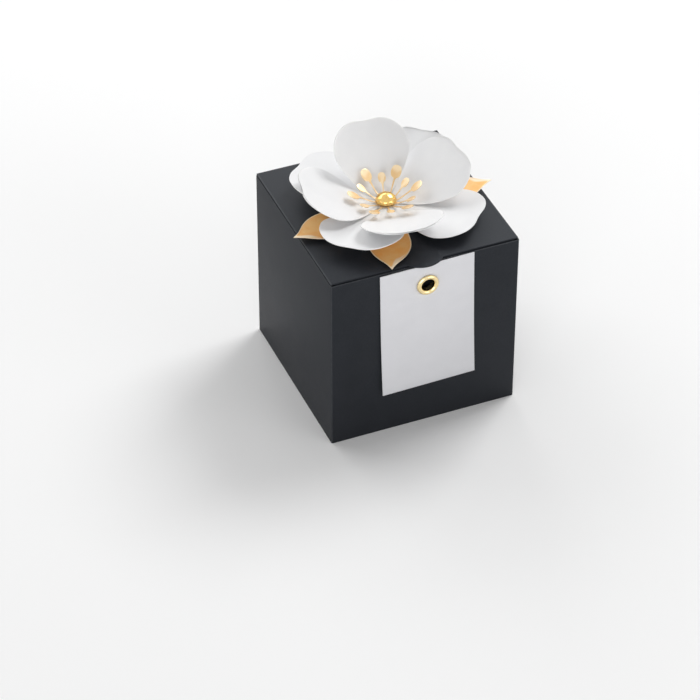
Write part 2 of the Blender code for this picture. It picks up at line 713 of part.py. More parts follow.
def stamen_arms():
    """Twelve filaments with oval heads, long and short by turns, steepest at the back."""
    arms = []
    for index in range(STAMEN_COUNT):
        is_long = index % 2 == 0
        at = LONG_STAMEN_HEAD_AT if is_long else SHORT_STAMEN_HEAD_AT
        length = (LONG_STAMEN_HEAD_LENGTH if is_long else SHORT_STAMEN_HEAD_LENGTH) / 2
        width = (LONG_STAMEN_HEAD_WIDTH if is_long else SHORT_STAMEN_HEAD_WIDTH) / 2
        root = math.asin(FILAMENT_HALF_WIDTH / STAMEN_HUB_RADIUS)
        neck = math.asin(FILAMENT_HALF_WIDTH / width)
        side = [Vector((math.cos(root), math.sin(root))) * STAMEN_HUB_RADIUS,
                Vector((STAMEN_HUB_RADIUS + STAMEN_BEND, FILAMENT_HALF_WIDTH))]
        for turn in (neck, (neck + math.pi / 2) / 2, math.pi / 2):
            side.append(Vector((at - length * math.cos(turn), width * math.sin(turn))))
        rim = [side[-1]]
        for turn in (math.pi * 3 / 4, math.pi):
            rim.append(Vector((at - length * math.cos(turn), width * math.sin(turn))))
        azimuth = FIRST_STAMEN_DEG + 360 * index / STAMEN_COUNT
        off = math.radians(azimuth - STAMEN_STEEPEST_AT_DEG)
        slope = STAMEN_SLOPE_DEG + STAMEN_SLOPE_SWAY_DEG * math.cos(off)
        slopes = (slope, slope)
        arms.append(Arm(azimuth, slopes, 0.0, 0.0, side, rim, STAMEN_HUB_RADIUS, STAMEN_BEND))
    return arms


def make_flower(lid_pivot):
    """Leaves, two layers of petals and the stamen ring, all turning about the brad."""
    pivot = add_pivot("flower_pivot", (0.0, 0.0, BOX_HEIGHT), lid_pivot)
    leaves = shaped_arms(
        LEAVES, LEAF_ROOT_DEG, LEAF_SIDE_SHARES, LEAF_RIM_SHARES, LEAF_LENGTH,
        LEAF_HALF_WIDTH, LEAF_BEND, LEAF_ROWS, LEAF_COLUMNS)
    lower = shaped_arms(
        LOWER_PETALS, PETAL_ROOT_DEG, PETAL_SIDE_SHARES, PETAL_RIM_SHARES, LOWER_PETAL_LENGTH,
        LOWER_PETAL_HALF_WIDTH, PETAL_BEND, PETAL_ROWS, PETAL_COLUMNS)
    upper = shaped_arms(
        UPPER_PETALS, PETAL_ROOT_DEG, PETAL_SIDE_SHARES, PETAL_RIM_SHARES, UPPER_PETAL_LENGTH,
        UPPER_PETAL_HALF_WIDTH, PETAL_BEND, PETAL_ROWS, PETAL_COLUMNS)
    layers = (
        ("gold_leaves", leaves, LEAF_LEVEL, gold_finish("gold_leaves", GOLD_FOIL, 0.42)),
        ("lower_petals", lower, LOWER_LEVEL, paper_finish("lower_petals")),
        ("upper_petals", upper, UPPER_LEVEL, paper_finish("upper_petals")),
        ("stamen_ring", stamen_arms(), STAMEN_LEVEL, gold_finish("stamen_ring", GOLD_FOIL, 0.35)),
    )
    for name, arms, level, finish in layers:
        bm = die_cut_layer(name, arms, level - BOX_HEIGHT, finish, 50.0)
        add_piece(name, bm, finish, pivot, 50.0)


def make_brad(lid_pivot):
    """Domed cap, and the strip whose legs go down through the lid and splay under it."""
    base = CAP_LEVEL - CREASE_Z
    place = Matrix.Translation((0.0, -HALF_DEPTH, base))
    profile = []
    shells = ((BRAD_CAP_RADIUS, BRAD_CAP_HEIGHT),
              (BRAD_CAP_RADIUS - BRAD_CAP_WALL, BRAD_CAP_HEIGHT - BRAD_CAP_WALL))
    for index, (radius, height) in enumerate(shells):
        arc = []
        for step in range(CAP_ARC_STEPS + 1):
            turn = math.pi / 2 * step / CAP_ARC_STEPS
            arc.append((radius * math.sin(turn), height * math.cos(turn)))
        profile += arc if index == 0 else arc[::-1]
    bm = turned(profile, False, CAP_STEPS)
    bmesh.ops.transform(bm, matrix=place, verts=bm.verts)
    add_piece("brad_cap", bm, gold_finish("brad_cap"), lid_pivot, 50.0)

    thick = BRAD_LEG_THICKNESS
    shank = BRAD_SHANK_HALF
    root = BRAD_ROOT_HALF_LENGTH
    under = LID_UNDERSIDE - CAP_LEVEL - GAP
    left, right = BRAD_LEG_LENGTHS
    outline = [
        (-root, thick), (-root, 0.0), (-shank, 0.0), (-shank, under),
        (-left, under), (-left, under - thick), (right, under - thick), (right, under),
        (shank, under), (shank, 0.0), (root, 0.0), (root, thick),
    ]
    bm = sheet([outline])
    thicken(bm, lambda vert: Vector((0.0, 0.0, -BRAD_LEG_WIDTH)))
    middle = -BRAD_LEG_WIDTH / 2
    for vert in bm.verts:
        if vert.co.x < BRAD_LEG_POINT - left or vert.co.x > right - BRAD_LEG_POINT:
            vert.co.z = middle + (vert.co.z - middle) / 2
    centred = Matrix.Translation((0.0, 0.0, BRAD_LEG_WIDTH / 2))
    turn = Matrix.Rotation(math.pi / 2, 4, "Z")
    bmesh.ops.transform(bm, matrix=place @ turn @ upright() @ centred, verts=bm.verts)
    add_piece("brad_legs", bm, gold_finish("brad_legs", POLISHED_GOLD, 0.3), lid_pivot)


def centre_footprint():
    """Move the carton's axis back, so that the middle of the footprint is the origin."""
    for item in bpy.context.scene.objects:
        if item.parent is None:
            item.location.y += CARTON_AXIS_Y


def main():
    clear_scene()
    make_walls()
    make_glue_flap()
    make_tongue_flap()
    make_bottom_side_flap("bottom_side_flap_right", 1, 1)
    make_bottom_side_flap("bottom_side_flap_left", -1, 2)
    make_notch_flap()
    make_dust_flap("dust_flap_left", -1)
    make_dust_flap("dust_flap_right", 1)
    make_tag()
    make_eyelet()
    lid_pivot = make_lid()
    make_tuck_flap(lid_pivot)
    make_flower(lid_pivot)
    make_brad(lid_pivot)
    centre_footprint()


main()
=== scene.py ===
"""Looks of the favor box: a charcoal card carton with a hanging tag and a paper flower.

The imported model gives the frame. Each sub-assembly below is a class that models its
pieces over the model's nodes, dresses them in a finish and hangs them on a body.
"""

import json
import logging
import math
from contextlib import contextmanager
from dataclasses import dataclass, field
from enum import Enum
from typing import Callable, Iterator, Sequence

import bmesh
import bpy
from mathutils import Matrix, Vector


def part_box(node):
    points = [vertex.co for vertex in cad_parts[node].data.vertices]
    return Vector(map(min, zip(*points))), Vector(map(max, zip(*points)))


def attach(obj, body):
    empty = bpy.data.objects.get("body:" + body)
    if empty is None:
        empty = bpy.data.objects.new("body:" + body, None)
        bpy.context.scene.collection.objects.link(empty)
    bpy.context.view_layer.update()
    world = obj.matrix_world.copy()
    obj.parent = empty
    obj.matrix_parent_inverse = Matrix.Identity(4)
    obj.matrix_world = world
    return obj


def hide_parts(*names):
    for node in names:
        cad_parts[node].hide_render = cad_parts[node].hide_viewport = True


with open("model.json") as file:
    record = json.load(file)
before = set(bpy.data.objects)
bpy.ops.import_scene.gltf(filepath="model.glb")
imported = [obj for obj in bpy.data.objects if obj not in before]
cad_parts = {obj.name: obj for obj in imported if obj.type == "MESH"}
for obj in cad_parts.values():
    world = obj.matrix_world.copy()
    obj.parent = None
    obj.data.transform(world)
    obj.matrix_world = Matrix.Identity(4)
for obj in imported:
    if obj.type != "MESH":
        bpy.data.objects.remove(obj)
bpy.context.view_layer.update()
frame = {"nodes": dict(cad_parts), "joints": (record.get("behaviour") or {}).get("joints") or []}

Colour = tuple[float, float, float]
Span = tuple[float, float]
Number = "Signal | float"

log = logging.getLogger("favor_box")

ACROSS = Vector((1.0, 0.0, 0.0))
INWARD = Vector((0.0, 1.0, 0.0))
UPWARD = Vector((0.0, 0.0, 1.0))

# Points nearer to each other than this are one point, in metres.
MERGE = 1e-6
# Least part of a face's normal along the axis that the face looks along.
FACING = 0.9


class Body(Enum):
    """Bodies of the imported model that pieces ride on."""

    CARTON = "carton"
    LID = "lid"
    TUCK_FLAP = "tuck_in_flap"
    DUST_LEFT = "dust_flap_left_body"
    DUST_RIGHT = "dust_flap_right_body"
    TAG = "hanging_tag"
    FLOWER = "flower"


class Slot(Enum):
    """Material slots of the record."""

    CARD = "charcoal_card"
    PETAL_PAPER = "pearl_paper"
    TAG_CARD = "tag_card"
    FOIL = "gold_foil"
    BRASS = "polished_gold"


class WearAndHighlight(Enum):
    """Where a card piece shows lighter edges: rubbed wear with a painted highlight."""

    NONE = "none"
    CORNERS = "corners"
    RIM = "rim"


# --------------------------------------------------------------------------------------
# Shader maths
# --------------------------------------------------------------------------------------


class Signal:
    """One shader socket, so that Python expressions on it add Math nodes."""

    def __init__(self, graph: "Graph", socket: bpy.types.NodeSocket) -> None:
        """Wrap a socket of a graph."""
        self.graph = graph
        self.socket = socket

    def __add__(self, other: Number) -> "Signal":
        """Sum."""
        return self.graph.math("ADD", self, other)

    __radd__ = __add__

    def __sub__(self, other: Number) -> "Signal":
        """Difference."""
        return self.graph.math("SUBTRACT", self, other)

    def __rsub__(self, other: Number) -> "Signal":
        """Difference, the socket second."""
        return self.graph.math("SUBTRACT", other, self)

    def __mul__(self, other: Number) -> "Signal":
        """Product."""
        return self.graph.math("MULTIPLY", self, other)

    __rmul__ = __mul__

    def __pow__(self, other: Number) -> "Signal":
        """Power."""
        return self.graph.math("POWER", self, other)

    def __rpow__(self, other: Number) -> "Signal":
        """Power, the socket second."""
        return self.graph.math("POWER", other, self)

    def __abs__(self) -> "Signal":
        """Size without sign."""
        return self.graph.math("ABSOLUTE", self)


class Graph:
    """Node tree of one material, with short ways to add its nodes."""

    shader_name = "Principled BSDF"

    def __init__(self, name: str) -> None:
        """Start the owner of the tree, with its usual shader and output."""
        self.owner = self.start(name)
        self.owner.use_nodes = True
        self.tree = self.owner.node_tree
        self.shader = self.tree.nodes[self.shader_name]

    def start(self, name: str) -> bpy.types.ID:
        """Start a material."""
        return bpy.data.materials.new(name)

    def node(self, kind: str, settings: dict | None = None, inputs: dict | None = None,
             out: int | str = 0) -> Signal:
        """Add any node.

        Args:
            kind: Blender's name of the node type.
            settings: attributes of the node, which are set first.
            inputs: values or links of its sockets, by name or index.
            out: output socket to hand back.

        Returns:
            The chosen output, ready for expressions.
        """
        made = self.tree.nodes.new(kind)
        for key, value in (settings or {}).items():
            setattr(made, key, value)
        for key, value in (inputs or {}).items():
            self.feed(made.inputs[key], value)
        return Signal(self, made.outputs[out])

    def feed(self, socket: bpy.types.NodeSocket, value: object) -> None:
        """Link a signal to a socket, or set the socket's own value."""
        if isinstance(value, Signal):
            self.tree.links.new(value.socket, socket)
        elif isinstance(value, tuple) and len(socket.default_value) > len(value):
            socket.default_value = (*value, 1.0)
        else:
            socket.default_value = value

    def math(self, operation: str, *values: Number) -> Signal:
        """A Math node on numbers or signals."""
        return self.node("ShaderNodeMath", {"operation": operation}, dict(enumerate(values)))

    def mix(self, share: Number, low: Colour | Signal, high: Colour | Signal) -> Signal:
        """Blend two colours by a share; 6, 7 and 2 are the node's colour sockets."""
        settings = {"data_type": "RGBA", "clamp_factor": True}
        return self.node("ShaderNodeMix", settings, {0: share, 6: low, 7: high}, 2)

    def step(self, value: Signal, low: float, high: float) -> Signal:
        """Smooth rise from 0 to 1 while a value goes from low to high."""
        settings = {"interpolation_type": "SMOOTHSTEP"}
        inputs = {"Value": value, "From Min": low, "From Max": high}
        return self.node("ShaderNodeMapRange", settings, inputs)

    def place(self) -> Signal:
        """Object coordinates: metres in the model's frame."""
        return self.node("ShaderNodeTexCoord", out="Object")

    def axes(self, vector: Signal) -> tuple[Signal, Signal, Signal]:
        """The three parts of a vector."""
        x = self.node("ShaderNodeSeparateXYZ", inputs={0: vector})
        parts = x.socket.node.outputs
        return x, Signal(self, parts[1]), Signal(self, parts[2])

    def stretch(self, vector: Signal, shares: Colour) -> Signal:
        """A vector scaled by a share along each axis."""
        return self.node("ShaderNodeVectorMath", {"operation": "MULTIPLY"}, {0: vector, 1: shares})

    def noise(self, vector: Signal, size: float, detail: float = 2.0,
              rough: float = 0.5) -> Signal:
        """Soft noise about 0.5 whose blobs are about size metres wide."""
        inputs = {"Vector": vector, "Scale": 1.0 / size, "Detail": detail, "Roughness": rough}
        return self.node("ShaderNodeTexNoise", {"noise_dimensions": "3D"}, inputs)

    def grain(self, vector: Signal, size: float) -> Signal:
        """Crisper noise about 0.5, as of fibre or of brushed foil."""
        return self.noise(vector, size, detail=3.0, rough=0.6)

    def swing(self, noise: Signal, spread: float) -> Signal:
        """A noise about 0.5 turned into one about 0, over a spread."""
        return (noise - 0.5) * spread

    def attribute(self, name: str) -> Signal:
        """A number that the piece's own mesh carries."""
        return self.node("ShaderNodeAttribute", {"attribute_name": name}, out="Fac")

    def bump(self, height: Signal, depth: float) -> Signal:
        """Normal from a height signal; depth is in metres."""
        inputs = {"Height": height, "Distance": depth, "Strength": 1.0}
        return self.node("ShaderNodeBump", inputs=inputs, out="Normal")

    def seen(self) -> Signal:
        """1 where the eye, a gloss or a clear piece meets it, 0 in the light that it gives."""
        camera = self.node("ShaderNodeLightPath", out="Is Camera Ray")
        rays = camera.socket.node.outputs
        mirrored = Signal(self, rays["Is Glossy Ray"])
        through = Signal(self, rays["Is Transmission Ray"])
        return self.math("MAXIMUM", camera, self.math("MAXIMUM", mirrored, through))

    def finish(self, **inputs: object) -> bpy.types.ID:
        """Feed the shader's sockets, underscores standing for spaces, and hand its owner over."""
        for key, value in inputs.items():
            self.feed(self.shader.inputs[key.replace("_", " ")], value)
        return self.owner


class SkyGraph(Graph):
    """Node tree of the world, with the same ways to add its nodes."""

    shader_name = "Background"

    def start(self, name: str) -> bpy.types.ID:
        """Start a world."""
        return bpy.data.worlds.new(name)


# --------------------------------------------------------------------------------------
# Finishes
# --------------------------------------------------------------------------------------


@dataclass(frozen=True)
class CardFinish:
    """Uncoated charcoal card: fine pressed fibre, with edges a little lighter, which is rubbed
    wear with a painted highlight.
    """

    face: Colour = (0.0112, 0.0124, 0.0158)
    fibre: Colour = (0.0180, 0.0196, 0.0240)
    # Lighter edge colour: rubbed wear with a painted highlight on the folds, corners and top
    # edges.
    worn_and_highlight: Colour = (0.055, 0.058, 0.064)
    roughness: float = 0.56
    gloss: float = 0.22
    sheen: Colour = (0.86, 0.93, 1.0)
    fibre_size: float = 0.00035
    strand_size: float = 0.00021
    strand_squeeze: Colour = (1.0, 0.22, 0.22)
    cloud_size: float = 0.009
    cloud_rough: float = 0.55
    pulp_shares: Colour = (0.55, 0.30, 0.35)
    pulp_span: Span = (0.40, 0.80)
    relief_shares: Span = (0.7, 0.3)
    relief: float = 0.000018
    fine_spread: float = 0.16
    cloud_spread: float = 0.08
    wear_and_highlight: WearAndHighlight = WearAndHighlight.NONE
    half_size: float = 0.040
    top: float = 0.080
    axis_y: float = 0.0
    line: float = 0.0006
    corner_share: float = 0.7
    fold_share: float = 0.8
    rim_share: float = 0.6
    rim_wear_and_highlight: float = 0.6
    patch_size: float = 0.0021
    patch_least: float = 0.35
    patch_swing: float = 0.9
    tab_half: float = 0.0075

    def wear_and_highlight_share(self, graph: Graph, spot: Signal) -> Signal | None:
        """How far the lighter edge, rubbed wear with a painted highlight, shows at each point, or
        None without it.

        Args:
            graph: the material that is being made.
            spot: its object coordinates.

        Returns:
            0 on the plain face, 1 on the edge.
        """
        if self.wear_and_highlight is WearAndHighlight.NONE:
            return None
        x, y, z = graph.axes(spot)
        x = abs(x)
        y = abs(y - self.axis_y)
        start = self.half_size - self.line
        if self.wear_and_highlight is WearAndHighlight.CORNERS:
            near = graph.math("MINIMUM", x, y)
            corner = graph.step(near, start, start + self.line * self.corner_share)
            rim = graph.step(z, self.top - self.line * self.rim_share, self.top)
            return graph.math("MAXIMUM", corner, rim * self.rim_wear_and_highlight)
        full = start + self.line * self.fold_share
        beside_tab = graph.step(x, self.tab_half, self.tab_half + self.line)
        return graph.math("MAXIMUM", graph.step(x, start, full),
                          graph.step(y, start, full) * beside_tab)

    def material(self, name: str) -> bpy.types.Material:
        """Build the finish as a material."""
        graph = Graph(name)
        spot = graph.place()
        fine = graph.grain(spot, self.fibre_size)
        strand = graph.noise(graph.stretch(spot, self.strand_squeeze), self.strand_size)
        cloud = graph.noise(spot, self.cloud_size, detail=3.0, rough=self.cloud_rough)
        fine_share, strand_share, cloud_share = self.pulp_shares
        pulp = fine * fine_share + strand * strand_share + cloud * cloud_share
        colour = graph.mix(graph.step(pulp, *self.pulp_span), self.face, self.fibre)
        # Painted highlight, with rubbed wear, lightens the folds, corners and top edges.
        rubbed_and_lit = self.wear_and_highlight_share(graph, spot)
        if rubbed_and_lit is not None:
            patches = graph.noise(spot, self.patch_size, detail=3.0) * self.patch_swing
            patchy = rubbed_and_lit * (self.patch_least + patches)
            colour = graph.mix(graph.math("MINIMUM", patchy, 1.0), colour, self.worn_and_highlight)
        height = fine * self.relief_shares[0] + strand * self.relief_shares[1]
        uneven = graph.swing(cloud, self.cloud_spread)
        return graph.finish(
            Base_Color=colour,
            Roughness=self.roughness + graph.swing(fine, self.fine_spread) + uneven,
            Normal=graph.bump(height, self.relief),
            Specular_IOR_Level=self.gloss,
            Specular_Tint=self.sheen,
        )


@dataclass(frozen=True)
class PaperFinish:
    """Smooth heavy white paper with a soft tooth, and a painted highlight on its cut edges."""

    face: Colour = (0.880, 0.882, 0.888)
    shade: Colour = (0.853, 0.856, 0.864)
    # Painted highlight colour for the cut edges.
    edge: Colour = (0.94, 0.94, 0.94)
    roughness: float = 0.50
    gloss: float = 0.35
    tooth_size: float = 0.00028
    tooth_spread: float = 0.12
    cloud_size: float = 0.007
    cloud_height: float = 0.6
    pulp_span: Span = (0.35, 0.65)
    edge_highlight_power: float = 3.0
    relief: float = 0.000010

    def material(self, name: str) -> bpy.types.Material:
        """Build the finish as a material."""
        graph = Graph(name)
        spot = graph.place()
        tooth = graph.grain(spot, self.tooth_size)
        cloud = graph.noise(spot, self.cloud_size, detail=3.0)
        pulp = graph.step(tooth * 0.5 + cloud * 0.5, *self.pulp_span)
        # The marked rim carries the painted highlight along the cut edges.
        rim = graph.attribute("rim") ** self.edge_highlight_power
        colour = graph.mix(rim, graph.mix(pulp, self.shade, self.face), self.edge)
        return graph.finish(
            Base_Color=colour,
            Roughness=self.roughness + graph.swing(tooth, self.tooth_spread),
            Normal=graph.bump(tooth + cloud * self.cloud_height, self.relief),
            Specular_IOR_Level=self.gloss,
        )


@dataclass(frozen=True)
class FoilFinish:
    """Satin gold foil on paper: fine brushed grain, faint ripples and a pale rim, a painted
    highlight along the cut edges.
    """

    face: Colour = (0.94, 0.48, 0.135)
    light: Colour = (0.95, 0.58, 0.220)
    # Pale rim colour: painted highlight along the cut edges.
    rim: Colour = (0.98, 0.80, 0.58)
    roughness: float = 0.42
    metal: float = 0.15
    rim_highlight_metal: float = 0.25
    grain_size: float = 0.00030
    grain_spread: float = 0.16
    ripple_size: float = 0.0040
    tone_shares: Span = (0.4, 0.6)
    tone_span: Span = (0.35, 0.65)
    rim_highlight_span: Span = (0.15, 0.75)
    rim_highlight_metal_span: Span = (0.3, 1.0)
    grain_height: float = 0.25
    relief: float = 0.000060

    def material(self, name: str) -> bpy.types.Material:
        """Build the finish as a material."""
        graph = Graph(name)
        spot = graph.place()
        grain = graph.grain(spot, self.grain_size)
        ripple = graph.noise(spot, self.ripple_size)
        tone = grain * self.tone_shares[0] + ripple * self.tone_shares[1]
        sheet = graph.mix(graph.step(tone, *self.tone_span), self.face, self.light)
        # Painted highlight: the marked rim turns pale and less metallic.
        rim = graph.attribute("rim")
        rim_highlight_paler = graph.step(rim, *self.rim_highlight_metal_span) * (self.metal - self.rim_highlight_metal)
        return graph.finish(
            Base_Color=graph.mix(graph.step(rim, *self.rim_highlight_span), sheet, self.rim),
            Metallic=self.metal - rim_highlight_paler,
            Roughness=self.roughness + graph.swing(grain, self.grain_spread),
            Normal=graph.bump(grain * self.grain_height + ripple, self.relief),
        )


@dataclass(frozen=True)
class GoldFinish:
    """Polished gold plating with the faintest handling haze."""

    face: Colour = (0.84, 0.57, 0.20)
    deep: Colour = (0.72, 0.45, 0.13)
    roughness: float = 0.09
    haze: float = 0.10
    haze_size: float = 0.0018
    haze_span: Span = (0.40, 0.75)
    scratch_size: float = 0.00022
    scratch_squeeze: Colour = (1.0, 1.0, 5.0)
    scratch_spread: float = 0.03
    relief: float = 0.000002

    def material(self, name: str) -> bpy.types.Material:
        """Build the finish as a material."""
        graph = Graph(name)
        spot = graph.place()
        cloud = graph.noise(spot, self.haze_size, detail=4.0, rough=0.6)
        haze = graph.step(cloud, *self.haze_span)
        lengthwise = graph.stretch(spot, self.scratch_squeeze)
        scratch = graph.noise(lengthwise, self.scratch_size, detail=3.0)
        return graph.finish(
            Base_Color=graph.mix(haze, self.face, self.deep),
            Metallic=1.0,
            Roughness=self.roughness + haze * self.haze
            + graph.swing(scratch, self.scratch_spread),
            Normal=graph.bump(scratch, self.relief),
        )


@dataclass(frozen=True)
class FloorFinish:
    """Plain floor: white as it is seen and mirrored, darker in the light that it gives back.

    It gives back little light close to the box, which paints shade onto the carton's lower walls,
    and more of it further off.
    """

    seen: Colour = (0.97, 0.97, 0.97)
    # Dark bounce close to the box: painted shade on the carton's lower walls.
    near: Colour = (0.060, 0.061, 0.064)
    far: Colour = (0.90, 0.90, 0.91)
    near_at: float = 0.045
    far_at: float = 0.165

    def material(self, name: str) -> bpy.types.Material:
        """Build the finish as a material."""
        graph = Graph(name)
        x, y, _ = graph.axes(graph.place())
        off = graph.math("SQRT", x * x + y * y)
        given = graph.mix(graph.step(off, self.near_at, self.far_at), self.near, self.far)
        return graph.finish(
            Base_Color=graph.mix(graph.seen(), given, self.seen),
            Roughness=1.0,
            Specular_IOR_Level=0.0,
        )


# --------------------------------------------------------------------------------------
# Modelling by Blender's operators
# --------------------------------------------------------------------------------------


# Pairs of triangles that bend or skew less than this become one face.
QUAD_BEND = math.radians(40.0)
QUAD_SKEW = math.radians(60.0)


class Bench:
    """The modelling bench: one piece at a time is selected, shaped and finished."""

    def clear(self) -> None:
        """Select no piece, before a new one is added."""
        bpy.ops.object.select_all(action="DESELECT")

    def hold(self, piece: bpy.types.Object) -> None:
        """Make a piece the only selected one, and the active one."""
        self.clear()
        piece.select_set(True)
        bpy.context.view_layer.objects.active = piece

    def take(self, name: str) -> bpy.types.Object:
        """Name the primitive that was just added."""
        piece = bpy.context.active_object
        piece.name = name
        piece.data.name = name
        return piece

    def block(self, name: str, low: Vector, high: Vector) -> bpy.types.Object:
        """Add a block between two corners.

        Args:
            name: the piece's name.
            low: its lowest corner.
            high: its highest corner.

        Returns:
            The new piece.
        """
        self.clear()
        size = high - low
        bpy.ops.mesh.primitive_cube_add(size=1.0, location=(low + high) / 2, scale=size)
        piece = self.take(name)
        self.settle(piece)
        return piece

    def settle(self, piece: bpy.types.Object) -> None:
        """Put a piece's place, turn and size into its mesh."""
        self.hold(piece)
        bpy.ops.object.transform_apply(location=True, rotation=True, scale=True)

    @contextmanager
    def editing(self, piece: bpy.types.Object) -> Iterator[None]:
        """Edit mode on one piece."""
        self.hold(piece)
        bpy.ops.object.mode_set(mode="EDIT")
        bpy.context.tool_settings.mesh_select_mode = (True, True, True)
        yield
        bpy.ops.object.mode_set(mode="OBJECT")

    def pick_all(self) -> None:
        """Select the whole mesh, in edit mode."""
        bpy.ops.mesh.select_all(action="SELECT")

    def slice(self, at: Vector, along: Vector, **side: bool) -> None:
        """Cut the whole mesh at a plane, in edit mode.

        Args:
            at: a point of the plane.
            along: the plane's normal.
            side: which side is thrown away, if any, by bisect's own names.
        """
        self.pick_all()
        bpy.ops.mesh.bisect(plane_co=at, plane_no=along, **side)

    def round_edges(self, width: float, steps: int) -> None:
        """Round the picked edges into folds, in edit mode."""
        bpy.ops.mesh.bevel(offset=width, offset_type="OFFSET", segments=steps, affect="EDGES")

    def weld(self, within: float = MERGE) -> None:
        """Merge the points of the whole mesh that lie within a distance, in edit mode."""
        self.pick_all()
        bpy.ops.mesh.remove_doubles(threshold=within)

    def pick(self, piece: bpy.types.Object, verts: Callable | None = None,
             edges: Callable | None = None, faces: Callable | None = None) -> None:
        """Select what passes a test, in edit mode.

        Args:
            piece: the piece in edit mode.
            verts: test of a vertex.
            edges: test of an edge.
            faces: test of a face.
        """
        bpy.context.tool_settings.mesh_select_mode = (
            verts is not None, edges is not None, faces is not None)
        bpy.ops.mesh.select_all(action="DESELECT")
        form = bmesh.from_edit_mesh(piece.data)
        form.normal_update()
        for group, test in ((form.verts, verts), (form.edges, edges), (form.faces, faces)):
            for part in group if test else ():
                if test(part):
                    part.select_set(True)
        form.select_flush_mode()
        bmesh.update_edit_mesh(piece.data)

    def modify(self, piece: bpy.types.Object, kind: str, **settings: object) -> None:
        """Add a modifier, set it and apply it."""
        self.hold(piece)
        bpy.ops.object.modifier_add(type=kind)
        modifier = piece.modifiers[-1]
        for key, value in settings.items():
            setattr(modifier, key, value)
        bpy.ops.object.modifier_apply(modifier=modifier.name)

    def cut_round(self, piece: bpy.types.Object, centre: Vector, along: Vector, radius: float,
                  depth: float, sides: int = 64) -> None:
        """Cut a round hole through a piece.

        Args:
            piece: the piece to cut.
            centre: middle of the cut.
            along: direction of the hole.
            radius: radius of the hole.
            depth: length of the cutter.
            sides: facets around the hole.
        """
        self.clear()
        turn = UPWARD.rotation_difference(along).to_euler()
        bpy.ops.mesh.primitive_cylinder_add(
            vertices=sides, radius=radius, depth=depth, location=centre, rotation=turn)
        cutter = self.take(piece.name + "_cutter")
        self.modify(piece, "BOOLEAN", operation="DIFFERENCE", solver="EXACT", object=cutter)
        bpy.data.objects.remove(cutter, do_unlink=True)

    def soften(self, piece: bpy.types.Object, width: float, angle: float = 40.0,
               segments: int = 2) -> None:
        """Break a piece's sharp edges with a fine bevel, and shade it smooth."""
        self.modify(piece, "BEVEL", width=width, segments=segments, limit_method="ANGLE",
                    angle_limit=math.radians(angle))
        self.smooth(piece, angle)

    def smooth(self, piece: bpy.types.Object, angle: float = 40.0) -> None:
        """Shade smooth, except over edges sharper than an angle in degrees."""
        self.hold(piece)
        bpy.ops.object.shade_smooth_by_angle(angle=math.radians(angle))

    def copy_of(self, node: str, name: str) -> bpy.types.Object:
        """A merged, editable copy of a node of the model.

        Args:
            node: the node's name.
            name: the new piece's name.

        Returns:
            The copy, as one closed mesh at the origin.
        """
        mesh = frame["nodes"][node].data.copy()
        mesh.name = name
        mesh.materials.clear()
        piece = bpy.data.objects.new(name, mesh)
        bpy.context.scene.collection.objects.link(piece)
        self.hold(piece)
        if mesh.has_custom_normals:
            bpy.ops.mesh.customdata_custom_splitnormals_clear()
        with self.editing(piece):
            self.weld()
            bpy.ops.mesh.tris_convert_to_quads(
                face_threshold=QUAD_BEND, shape_threshold=QUAD_SKEW)
        return piece

    def mark(self, piece: bpy.types.Object, name: str, test: Callable) -> None:
        """Store 1 on the vertices that pass a test and 0 on the others.

        Args:
            piece: the piece, in object mode.
            name: the attribute's name.
            test: test of a vertex's index.
        """
        values = [1.0 if test(index) else 0.0 for index in range(len(piece.data.vertices))]
        layer = piece.data.attributes.new(name=name, type="FLOAT", domain="POINT")
        layer.data.foreach_set("value", values)

    def dress(self, piece: bpy.types.Object, material: bpy.types.Material, body: Body,
              nodes: Sequence[str]) -> bpy.types.Object:
        """Finish a piece and hang it on its body.

        Args:
            piece: the modelled piece.
            material: its material.
            body: the body that it rides on.
            nodes: the model's nodes that it stands for, if any.

        Returns:
            The finished piece.
        """
        piece.data.materials.clear()
        piece.data.materials.append(material)
        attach(piece, body.value)
        if nodes:
            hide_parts(*nodes)
        log.info("%s: %d faces, rides on %s", piece.name, len(piece.data.polygons), body.value)
        return piece


bench = Bench()


def joint_place(name: str) -> Vector:
    """Place of a joint's axis in the model's frame."""
    return Vector(next(joint["pos_m"] for joint in frame["joints"] if joint["name"] == name))


# --------------------------------------------------------------------------------------
# Carton
# --------------------------------------------------------------------------------------


@dataclass(frozen=True)
class CreaseBead:
    """Fine bead of card along a crease across the box, which closes the fold at any angle."""

    name: str
    length: float
    round: float = 0.00020
    taper: float = 0.0014
    tip: float = 0.5
    sides: int = 24
    sharp: float = 50.0

    def build(self, middle: Vector, material: bpy.types.Material) -> bpy.types.Object:
        """Model the bead, with tapered ends.

        Args:
            middle: the middle of the crease.
            material: its finish.

        Returns:
            The finished bead.
        """
        bench.clear()
        bpy.ops.mesh.primitive_cylinder_add(
            vertices=self.sides, radius=self.round, depth=self.length - self.taper * 2,
            location=middle, rotation=(0.0, math.pi / 2, 0.0))
        piece = bench.take(self.name)
        bench.settle(piece)
        with bench.editing(piece):
            for side in (1.0, -1.0):
                bench.pick(piece, faces=lambda face: side * face.normal.x > FACING)
                bpy.ops.mesh.extrude_region_move(
                    TRANSFORM_OT_translate={"value": (side * self.taper, 0.0, 0.0)})
                bpy.ops.transform.resize(value=(1.0, self.tip, self.tip))
        bench.smooth(piece, self.sharp)
        return bench.dress(piece, material, Body.CARTON, ())


